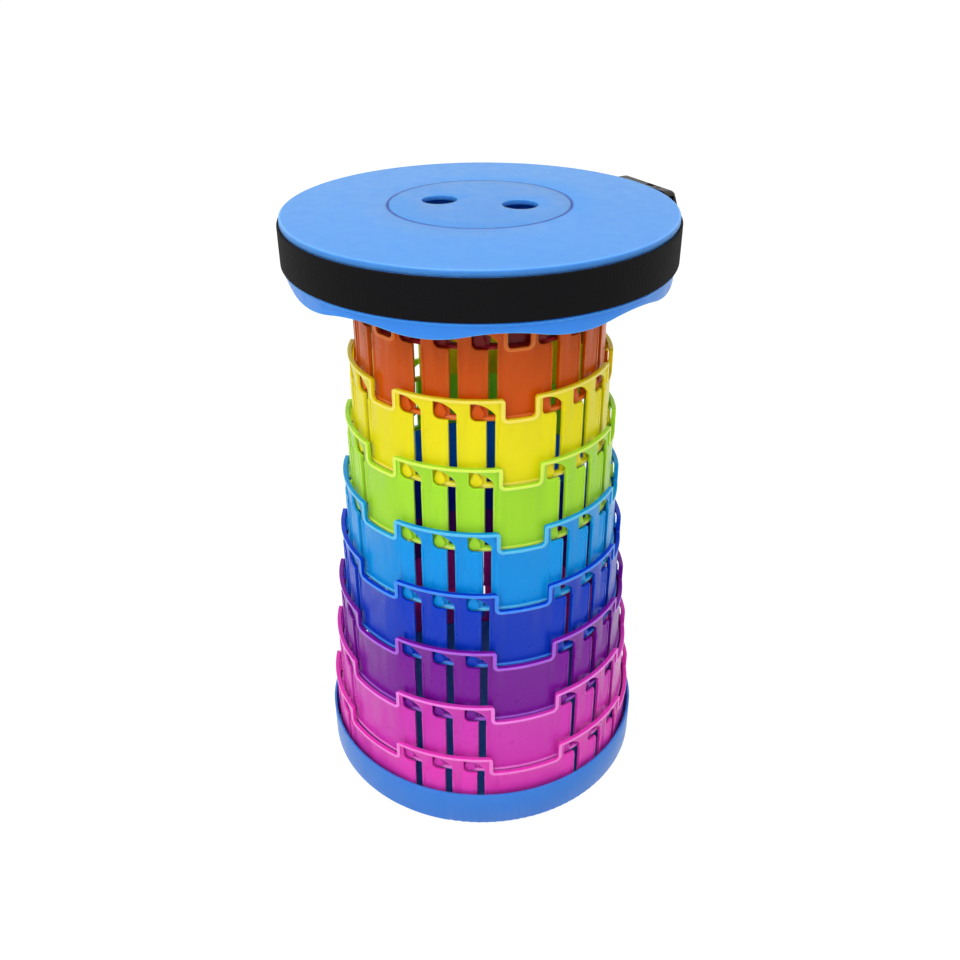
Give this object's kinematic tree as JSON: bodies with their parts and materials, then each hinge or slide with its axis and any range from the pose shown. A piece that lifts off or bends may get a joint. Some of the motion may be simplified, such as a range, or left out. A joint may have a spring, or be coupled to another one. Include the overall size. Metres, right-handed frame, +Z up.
{
  "type": "collapsible telescopic stool",
  "caption": "Round folding stool whose nested, coloured plastic rings telescope up from a shallow base dish to a crowned seat, with a webbing strap and buckle round the seat's rim.",
  "frame": {"origin": "on the floor, at the centre of the base, under the rubber feet", "axes": "+Z up along the column's axis; the front, where a raised portion of every rim faces, is -Y; the two finger holes lie along X"},
  "size_m": [0.2532, 0.2532, 0.4262],
  "materials": {
    "red_plastic": "moulded, satin gloss",
    "orange_plastic": "moulded, satin gloss",
    "yellow_plastic": "moulded, satin gloss",
    "lime_plastic": "moulded, satin gloss",
    "sky_plastic": "moulded, satin gloss",
    "blue_plastic": "moulded, satin gloss",
    "purple_plastic": "moulded, satin gloss",
    "pink_plastic": "moulded, satin gloss",
    "rose_plastic": "moulded, satin gloss",
    "seat_blue_plastic": "moulded, satin gloss",
    "skirt_blue_plastic": "moulded, satin gloss",
    "base_blue_plastic": "moulded, satin gloss",
    "screw_steel": "zinc plated",
    "black_webbing": "woven",
    "buckle_plastic": "moulded, matte",
    "foot_rubber": "moulded"
  },
  "bodies": {
    "base": {"base_dish": "base_blue_plastic", "foot_pads": "foot_rubber", "ring_rose": "rose_plastic"},
    "pink_stage": {"ring_pink": "pink_plastic"},
    "purple_stage": {"ring_purple": "purple_plastic"},
    "blue_stage": {"ring_blue": "blue_plastic"},
    "sky_stage": {"ring_sky": "sky_plastic"},
    "lime_stage": {"ring_lime": "lime_plastic"},
    "yellow_stage": {"ring_yellow": "yellow_plastic"},
    "orange_stage": {"ring_orange": "orange_plastic"},
    "seat": {"ring_red": "red_plastic", "seat_plate": "seat_blue_plastic", "centre_cover": "seat_blue_plastic", "seat_skirt": "skirt_blue_plastic", "hub_screws": "screw_steel", "strap_webbing": "black_webbing", "buckle_socket": "buckle_plastic", "buckle_plug": "buckle_plastic"}
  },
  "joints": [
    {"name": "slide_pink", "type": "slide", "parent": "base", "child": "pink_stage", "axis": [0, 0, 1], "range_m": [-0.0446, 0]},
    {"name": "slide_purple", "type": "slide", "parent": "pink_stage", "child": "purple_stage", "axis": [0, 0, 1], "range_m": [-0.0446, 0]},
    {"name": "slide_blue", "type": "slide", "parent": "purple_stage", "child": "blue_stage", "axis": [0, 0, 1], "range_m": [-0.0446, 0]},
    {"name": "slide_sky", "type": "slide", "parent": "blue_stage", "child": "sky_stage", "axis": [0, 0, 1], "range_m": [-0.0446, 0]},
    {"name": "slide_lime", "type": "slide", "parent": "sky_stage", "child": "lime_stage", "axis": [0, 0, 1], "range_m": [-0.0446, 0]},
    {"name": "slide_yellow", "type": "slide", "parent": "lime_stage", "child": "yellow_stage", "axis": [0, 0, 1], "range_m": [-0.0446, 0]},
    {"name": "slide_orange", "type": "slide", "parent": "yellow_stage", "child": "orange_stage", "axis": [0, 0, 1], "range_m": [-0.0446, 0]},
    {"name": "slide_seat", "type": "slide", "parent": "orange_stage", "child": "seat", "axis": [0, 0, 1], "range_m": [-0.0446, 0]}
  ]
}
